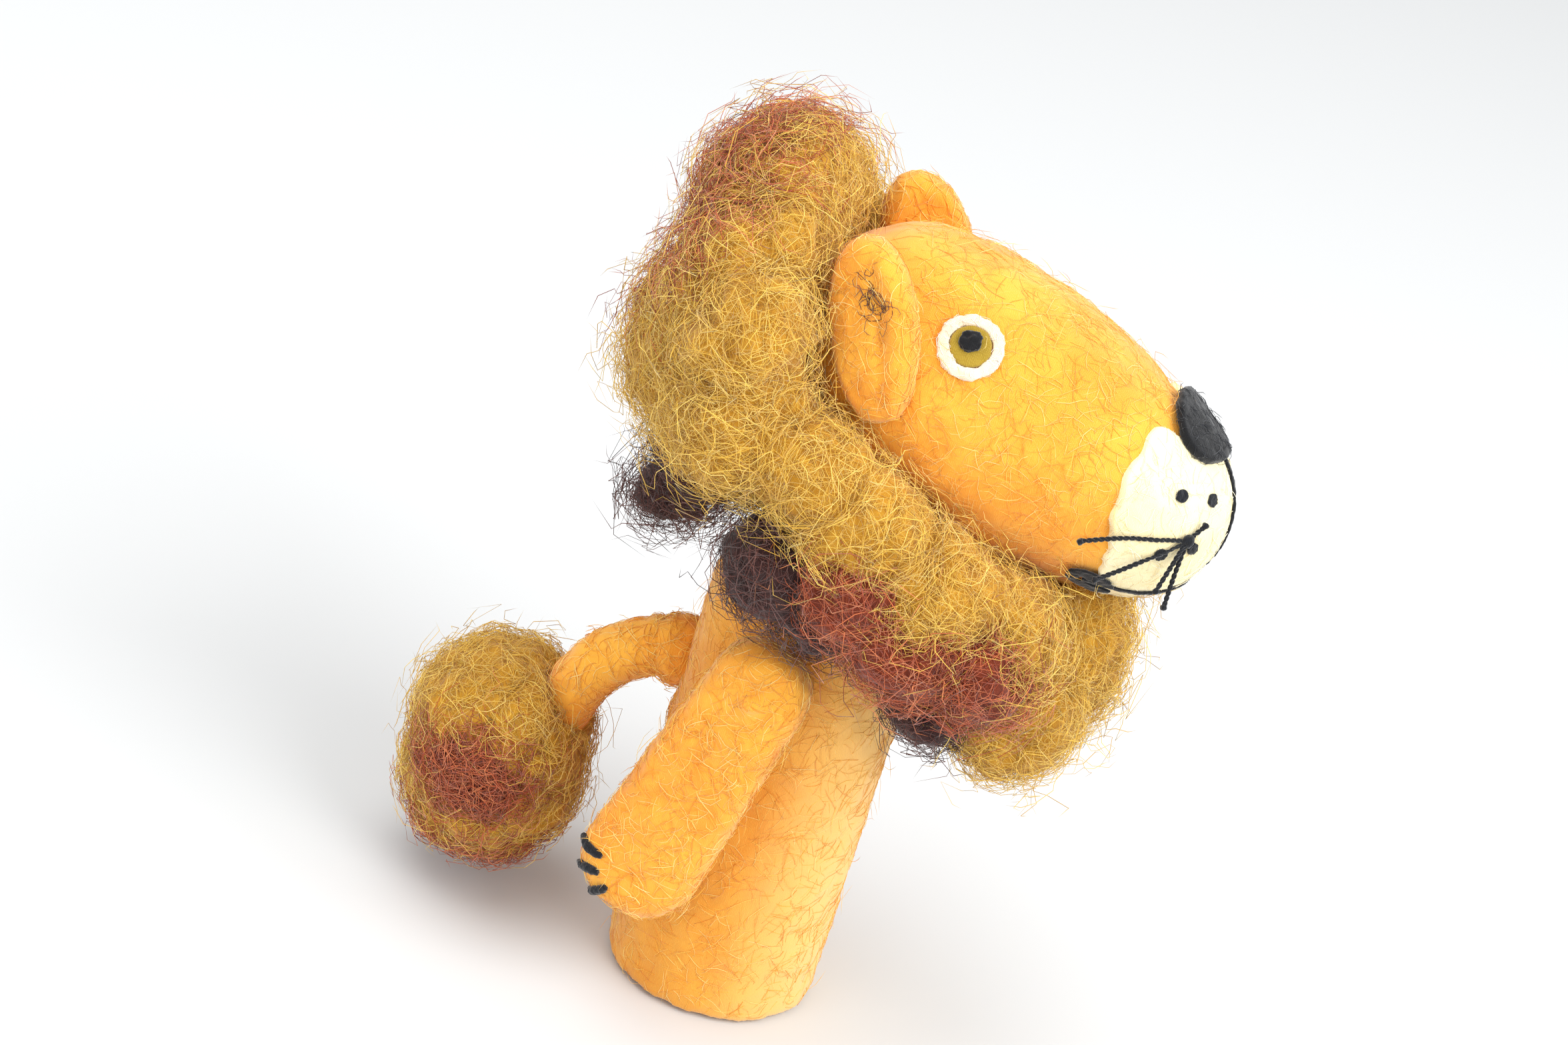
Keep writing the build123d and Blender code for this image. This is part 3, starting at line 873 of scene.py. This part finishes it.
points = read_points(muzzle)
left, up, reach = head_places(points).T
wander = 0.25 * np.sin(0.9 * up + 0.7 * left)
ripple = 0.12 * np.sin(2.1 * up - 1.3 * left + 1)
border = cream_border(left, up) + wander + ripple
sunk = smooth_step((border + 0.7 - reach) / 1.4)
middle_line = np.array(HEAD_CENTRE) + np.outer(reach * MM, np.array(AHEAD))
inward = middle_line - points
inward /= np.linalg.norm(inward, axis=1)[:, None]
write_points(muzzle, points + inward * (sunk * 1.5 * MM)[:, None])


def on_cream(centre, normal):
    """Cream fibres only where the cream patch stands above the yellow."""
    left, up, reach = head_places(centre).T
    return (reach > cream_border(left, up)).astype(float)


hand_over(muzzle, "head", CREAM, ["muzzle_patch"])
strands("muzzle_fuzz", surface_of(muzzle), 1900, 51, "head", CREAM_FUZZ, width=0.07,
        length=3.6, steps=4, lift=0.25, bend=0.4, weight=on_cream, stray=0.03, stray_lift=1.0)
nose = felt_form("nose_felt", ["nose"], 0.3, soften=4, cloud=((2, 0.3), (0.8, 0.12)))
hand_over(nose, "head", BLACK, ["nose"])
strands("nose_fuzz", surface_of(nose), 350, 52, "head", DARK_FUZZ, width=0.07, length=2.5,
        steps=5, lift=0.25, bend=0.35, stray=0.04, stray_lift=0.8)

# %% [markdown]
# Eyes. Three rounds of wool a side, each a little smaller than the one under it.

# %% Eyes
for side, seed in (("right", 60), ("left", 65)):
    white = felt_form(f"{side}_eye_ring", [f"{side}_eye_white"], 0.22, soften=4,
                      cloud=((1.6, 0.5), (0.7, 0.2)))
    hand_over(white, "head", WHITE, [f"{side}_eye_white"])
    strands(f"{side}_eye_ring_fuzz", surface_of(white), 160, seed, "head", WHITE_FUZZ,
            width=0.07, length=2.2, steps=5, lift=0.2, bend=0.5, stray=0.03, stray_lift=0.6)
    iris = felt_form(f"{side}_eye_iris", [f"{side}_iris", f"{side}_pupil"], 0.2, soften=3,
                     cloud=((1.2, 0.3),))
    hand_over(iris, "head", OLIVE, [f"{side}_iris"])
    pupil = felt_form(f"{side}_eye_pupil", [f"{side}_pupil"], 0.16, soften=2, cloud=((1.3, 0.9), (0.5, 0.3)))
    eye_out = (Vector(read_points(pupil).mean(0)) - on_head(0, 0, 6)).normalized()
    write_points(pupil, read_points(pupil) + np.array(UP * 0.4 - AHEAD * 0.35 + eye_out * 0.35) * MM)
    hand_over(pupil, "head", BLACK, [f"{side}_pupil"])

# %% [markdown]
# Mouth. Black thread is stitched down from the nose and round the muzzle, thicker at each corner, and each
# whisker dot is a knot of the same thread.

# %% Mouth and dots
MOUTH_TURN_DEG = 14


def dip(points, degrees):
    """Turns stitches round the head's axis, so the mouth turns down towards its corners."""
    left, up, reach = head_places(points).T
    angle = np.radians(degrees) * smooth_step(np.abs(left) / 11) * np.sign(left)
    new_left = left * np.cos(angle) + up * np.sin(angle)
    new_up = up * np.cos(angle) - left * np.sin(angle)
    return np.array(HEAD_CENTRE) + (
        np.outer(new_left, [1, 0, 0]) + np.outer(new_up, np.array(UP)) + np.outer(reach, np.array(AHEAD))
    ) * MM


mouth = felt_form("mouth_stitches", ["mouth_line"], 0.16, soften=2, cloud=((0.6, 0.2),), outer=False)
points = read_points(mouth)
under = head_places(points)[:, 1] < 0
points[under] = dip(points[under], MOUTH_TURN_DEG)
write_points(mouth, points)
hand_over(mouth, "head", THREAD, ["mouth_line"])
for side in ("right", "left"):
    corner_pad = felt_form(f"{side}_mouth_corner_stitches", [f"{side}_mouth_corner"], 0.16, soften=2,
                           cloud=((0.6, 0.3),))
    points = dip(read_points(corner_pad), MOUTH_TURN_DEG)
    reach = head_places(points)[:, 2]
    points = points + np.outer((reach - reach.mean()) * 0.5 * MM, np.array(AHEAD))
    write_points(corner_pad, points)
    hand_over(corner_pad, "head", THREAD, [f"{side}_mouth_corner"])
    dots = felt_form(f"{side}_dot_stitches", [f"{side}_whisker_dots"], 0.14, soften=2, cloud=((0.5, 0.25),),
                     outer=False)
    hand_over(dots, "head", THREAD, [f"{side}_whisker_dots"])

# %% [markdown]
# Whiskers. One waxed black thread is knotted through the muzzle and cut to four stiff ends and a stub. It
# is two plies twisted together, so each end is drawn as two fine cords that wind round each other, with a
# small hard knot at the tip.

# %% Whiskers
WHISKER_ROOT = (9.8, 3.2, 42.0)
WHISKER_TIPS = (
    (16.2, -1.6, 30.8),
    (15.5, -5.2, 35.0),
    (13.8, -2.9, 42.0),
    (13.4, -4.4, 44.0),
    (8.6, 5.6, 42.9),
)
WHISKER_SAGS = (0.5, -0.4, 0.3, -0.3, 0)
PLY_R = 0.19 * MM
PLY_OUT = 0.15
TWIST_LENGTH = 1.5 * MM
END_KNOT_R = 0.42
ROOT_KNOT_R = 0.85 * MM
THREAD_HEIGHT = 1.1 * MM


def knot_ball(place, radius, lump, depth):
    """A small lumpy ball of thread."""
    deselect()
    bpy.ops.mesh.primitive_ico_sphere_add(subdivisions=3, radius=radius, location=place)
    ball = bpy.context.object
    bpy.ops.object.transform_apply(location=True, rotation=True, scale=True)
    clouds(ball, lump, depth)
    return ball


def thread_end(name, start, end, sag, knot):
    """Two twisted plies from start to end, and the knot at the end."""
    direction = (end - start).normalized()
    side_way = direction.orthogonal().normalized()
    up_way = direction.cross(side_way)
    length = (end - start).length
    count = max(8, int(length / (0.16 * MM)))
    made = []
    for ply in (0, math.pi):
        places = []
        for i in range(count):
            share = i / (count - 1)
            turn_by = ply + share * length / TWIST_LENGTH * 2 * math.pi
            off = side_way * math.cos(turn_by) + up_way * math.sin(turn_by)
            bow = UP * (sag * MM * math.sin(math.pi * share))
            places.append(start.lerp(end, share) + bow + off * PLY_OUT * MM)
        made.append(thread_along(name, places, PLY_R, 1))
    return [*made, knot_ball(end, knot * MM, 0.5, 0.35)]


for side, sign in (("right", -1), ("left", 1)):
    start = on_head(sign * WHISKER_ROOT[0], *WHISKER_ROOT[1:])
    parts = []
    for (left, up, ahead), sag in zip(WHISKER_TIPS, WHISKER_SAGS):
        end = on_head(sign * left, up, ahead)
        parts += thread_end(f"{side}_whisker", start, end, sag, END_KNOT_R)
    parts.append(knot_ball(start, ROOT_KNOT_R, 0.7, 0.4))
    threads = joined(parts, f"{side}_whisker_threads")
    bpy.ops.object.shade_smooth()
    points = read_points(threads)
    for i, point in enumerate(points):
        near, normal, _, _ = head_skin["tree"].find_nearest(point)
        height = (Vector(point) - near).dot(normal)
        points[i] = np.array(Vector(point) + normal * max(0, THREAD_HEIGHT - height) * 0.9)
    write_points(threads, points)
    hand_over(threads, "head", THREAD, [f"{side}_whiskers"])

# %% [markdown]
# Ears. Each is an oval of felt with a shallow fold on its outer face. The construction solid is squarer, so
# the points are drawn in to an oval. A few dark fibres were caught near the right ear's tip.

# %% Ears
def shape_ear(ear):
    """Draws an ear in to an oval and presses the fold into its outer face."""
    points = read_points(ear)
    centre = points.mean(0)
    long_way, wide_way, thin_way = np.linalg.svd(points - centre, full_matrices=False)[2]
    wide_way = wide_way * np.sign(wide_way @ np.array(AHEAD))
    thin_way = thin_way * np.sign(thin_way[0] * centre[0])
    across_ear = (points - centre) @ wide_way / MM
    down_ear = (points - centre) @ long_way / MM
    outer_face = smooth_step(((points - centre) @ thin_way / MM + 0.3) / 1.2)
    fold = 0.55 * np.exp(-(((across_ear - 1.8) / 1.1) ** 2)) * np.exp(-((down_ear / 8) ** 2))
    straight = np.clip((np.abs(down_ear) - 5.4) / 5.8, 0, 0.97)
    oval = np.sqrt(1 - np.clip(np.abs(down_ear) / 11.4, 0, 0.97) ** 2) / np.sqrt(1 - straight**2)
    slim = across_ear * (np.clip(oval, 0.62, 1) - 1)
    write_points(ear, points - np.outer(fold * outer_face * MM, thin_way) + np.outer(slim * MM, wide_way))


ears = {}
for side, seed in (("right", 70), ("left", 71)):
    ear = felt_form(f"{side}_ear_felt", [f"{side}_ear"], 0.35, soften=6, cloud=((3, 0.4), (1.2, 0.15)))
    shape_ear(ear)
    hand_over(ear, "head", YELLOW, [f"{side}_ear"])
    ears[side] = surface_of(ear)
    strands(f"{side}_ear_fuzz", ears[side], 700, seed, "head", FUZZ, width=0.08,
            length=4, steps=5, lift=0.3, bend=0.35, stray=0.05, stray_lift=1.2)

EAR_FIBRES = on_head(-19.5, 10.5, -6.5)


def ear_tip(centre, normal):
    """A small place near the top of the right ear, where a few dark fibres were caught."""
    away = np.linalg.norm(centre - np.array(EAR_FIBRES), axis=1) / MM
    return np.exp(-((away / 1.6) ** 2)) + 1e-9


strands("right_ear_dark_fibres", ears["right"], 26, 73, "head", BROWN, width=0.09,
        length=4, lift=0.5, bend=0.8, weight=ear_tip, stray=0.1, stray_lift=1)

# %% [markdown]
# Mane. It is loose carded wool, needled to the head only along its root, so it stands as one soft ruff
# round the face. Under the strands lies the body of the wool: overlapping egg shapes, joined, rebuilt as
# one skin and roughened by clouds. The places are in millimetres along the head's own axes.


# %% Bodies of loose wool
def wool_body(name, eggs, voxel=0.9, soften=8, cloud=((6, 3.0), (2.6, 1.3))):
    """One soft mass from overlapping eggs, each given as a place and three half sizes on the head's axes."""
    parts = []
    for left, up, ahead, wide, tall, deep in eggs:
        deselect()
        bpy.ops.mesh.primitive_ico_sphere_add(subdivisions=4, radius=1)
        egg = bpy.context.object
        axes = Matrix((Vector((1, 0, 0)), UP, AHEAD)).transposed()
        shape = axes @ Matrix.Diagonal(Vector((wide, tall, deep)) * MM)
        egg.data.transform(Matrix.Translation(on_head(left, up, ahead)) @ shape.to_4x4())
        parts.append(egg)
    piece = joined(parts, name)
    bpy.ops.object.mode_set(mode="EDIT")
    bpy.ops.mesh.select_all(action="SELECT")
    bpy.ops.mesh.normals_make_consistent(inside=False)
    bpy.ops.object.mode_set(mode="OBJECT")
    add_modifier(piece, "REMESH", mode="VOXEL", voxel_size=voxel * MM, use_smooth_shade=True)
    add_modifier(piece, "SMOOTH", iterations=soften, factor=SMOOTHING)
    for size, depth in cloud:
        clouds(piece, size, depth)
    activate(piece)
    bpy.ops.object.shade_smooth()
    return piece


def both_sides(eggs):
    """The same eggs on the right and on the left."""
    return [*eggs, *((-left, *rest) for left, *rest in eggs)]


GOLD_EGGS = [
    (0, 8, -22, 13, 10.5, 8.5),
    (0, -12, -20, 14, 13, 10),
    (0, -24, 36, 10, 12, 10),
] + both_sides([
    (-11, 2, -20, 10, 11, 8),
    (-19, -1, -16, 8, 9, 7),
    (-19, -10, -12, 9, 10, 8),
    (-20, -11, -1, 8, 7, 8),
    (-20, -14, 9, 8, 7.5, 9),
    (-18, -17, 19, 8, 8, 9),
    (-13, -20, 29, 9, 9, 9),
    (-8, -30, 37, 8, 9, 8),
]) + [
    (20, -2, 19, 4, 8.5, 9),
    (17.5, -7, 29, 4, 7, 9),
    (13, -14, 37, 5, 6, 7),
]
RUST_EGGS = [(-21.5, -20.5, 11, 7.5, 7, 7.5), (-20.5, -23.5, 20, 7.5, 7, 8), (-17.5, -23, 29, 7, 7, 7.5)]
BROWN_EGGS = [(-20, -24, 2, 7, 7, 7), (-18.5, -27.5, 9, 6, 5.5, 6), (-12.5, -33, 28, 6, 5.5, 6)]
BROWN_TAIL_EGGS = [(4, -29, -13, 7, 7, 6), (7, -37, -15, 4.5, 6, 4.5)]

# The darker gold of this body is painted shade in the gaps under the strands.
gold = wool_body("mane_gold_base", GOLD_EGGS)
GOLD_NODES = ["mane_crown", "mane_nape", "mane_bib"] + [
    f"{side}_mane_{part}" for side in ("right", "left") for part in ("crest", "upper_side", "side", "cheek")
]
hand_over(gold, "head", GOLD_SHADED_UNDER, GOLD_NODES)
gold_skin = surface_of(gold)

# %% [markdown]
# The mane's strands. Gold wool grows all over, and rust wool was laid behind it along the back and the top.
# The rust and brown locks low on each side are forms of their own, with strands in their own colour.

# %% Strands of the mane
def off_the_head(centre, normal):
    """Loose wool grows where the mane is in the open, and not where it is felted to the head or an ear."""
    ear_gap = np.array([min(e["tree"].find_nearest(p)[3] for e in ears.values()) for p in centre]) / MM
    return ((near_head(centre) > 1.2) & (ear_gap > 1.6)).astype(float)


def rim(centre, normal):
    """The back and the top of the mane, where the rust wool was laid behind the gold."""
    left, up, reach = head_places(centre).T
    behind = smooth_step((-24 - reach + 0.25 * np.clip(up, -20, 16)) / 6)
    return off_the_head(centre, normal) * behind * (up > -22)


for number in range(4):
    strands(f"mane_gold_wool_{number + 1}", gold_skin, 4600, 80 + number, "head", GOLD,
            width=0.085, length=10, steps=7, lift=2.6, bend=0.8, weight=off_the_head, stray=0.13,
            stray_lift=7)
strands("mane_rust_rim_wool", gold_skin, 1900, 88, "head", RUST, width=0.085, length=10,
        lift=3.5, bend=0.7, weight=rim, stray=0.2, stray_lift=7)

for colour_name, eggs, material, under, part, count, seed in (
    ("rust", RUST_EGGS, RUST, RUST_SHADED_UNDER, "rust_lock", 1700, 90),
    ("brown", BROWN_EGGS, BROWN, BROWN_SHADED_UNDER, "brown_lock", 1300, 95),
):
    for side, sign in (("right", 1), ("left", -1)):
        lock = wool_body(f"{side}_mane_{colour_name}_base", [(sign * e[0], *e[1:]) for e in eggs], soften=5,
                         cloud=((5, 2.5), (2.2, 1.2)))
        hand_over(lock, "head", under, [f"{side}_mane_{part}"])
        strands(f"{side}_mane_{colour_name}_wool", surface_of(lock), count, seed + len(side), "head",
                material, width=0.09, length=10, lift=2.8, bend=0.75,
                weight=off_the_head, stray=0.1, stray_lift=7)
back_lock = wool_body("mane_back_lock_base", BROWN_TAIL_EGGS, soften=4, cloud=((4, 2.5), (2, 1.2)))
hand_over(back_lock, "head", BROWN_SHADED_UNDER, ())
strands("mane_back_lock_wool", surface_of(back_lock), 900, 99, "head", BROWN, width=0.09,
        length=11, lift=4.0, bend=0.7, stray=0.4, stray_lift=7)

# %% [markdown]
# Tail tuft. It is a ball of the same gold wool, with a rust patch on its right side and a rust tip. The ball
# rides on the tail, and the patch is a second form that stands a little out of the first.

# %% Tail tuft
RUST_REACH = 9.5 * MM

tuft = felt_form("tuft_base", ["tail_tuft", "tuft_rust_heart", "tuft_rust_tip"], 0.8, soften=8,
                 cloud=((5, 2.2), (2, 1.2)))
hand_over(tuft, "tail_body", GOLD_SHADED_UNDER, ["tail_tuft", "tuft_rust_tip"])
tuft_skin = surface_of(tuft)
heart_low, heart_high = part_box("tuft_rust_heart")
deselect()
bpy.ops.mesh.primitive_ico_sphere_add(subdivisions=5, radius=1)
rust_heart = bpy.context.object
rust_heart.name = "tuft_rust_base"
rust_place = Matrix.Translation((heart_low + heart_high) / 2 + Vector((-0.7 * MM, 0, 0)))
rust_heart.data.transform(rust_place @ Matrix.Diagonal((6.6 * MM, 8 * MM, 8.4 * MM, 1)))
clouds(rust_heart, 4, 1.6)
activate(rust_heart)
bpy.ops.object.shade_smooth()
hand_over(rust_heart, "tail_body", RUST_SHADED_UNDER, ["tuft_rust_heart"])


def outer_side(centre, normal):
    """The half of the rust patch that stands out of the tuft on its right side."""
    return (centre[:, 0] < -RUST_REACH).astype(float)


strands("tuft_rust_heart_wool", surface_of(rust_heart), 1100, 103, "tail_body", RUST,
        width=0.085, length=8, lift=2.0, bend=0.8, weight=outer_side, stray=0.05, stray_lift=3)
_, tip_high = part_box("tuft_rust_tip")
heart = np.array((heart_low + heart_high) / 2)


def in_rust(centre, normal):
    """The rust patch on the tuft's outer right side, and its tip."""
    away = np.linalg.norm(centre - heart, axis=1)
    return ((away < RUST_REACH) | (centre[:, 2] < tip_high.z)).astype(float)


def not_in_rust(centre, normal):
    """Everywhere else on the tuft."""
    return 1 - in_rust(centre, normal)


strands("tuft_gold_wool", tuft_skin, 2600, 101, "tail_body", GOLD, width=0.085, length=9,
        lift=2.0, bend=0.8, weight=not_in_rust, stray=0.06, stray_lift=5)
strands("tuft_rust_wool", tuft_skin, 1500, 102, "tail_body", RUST, width=0.085, length=8,
        lift=2.0, bend=0.8, weight=in_rust, stray=0.05, stray_lift=4)
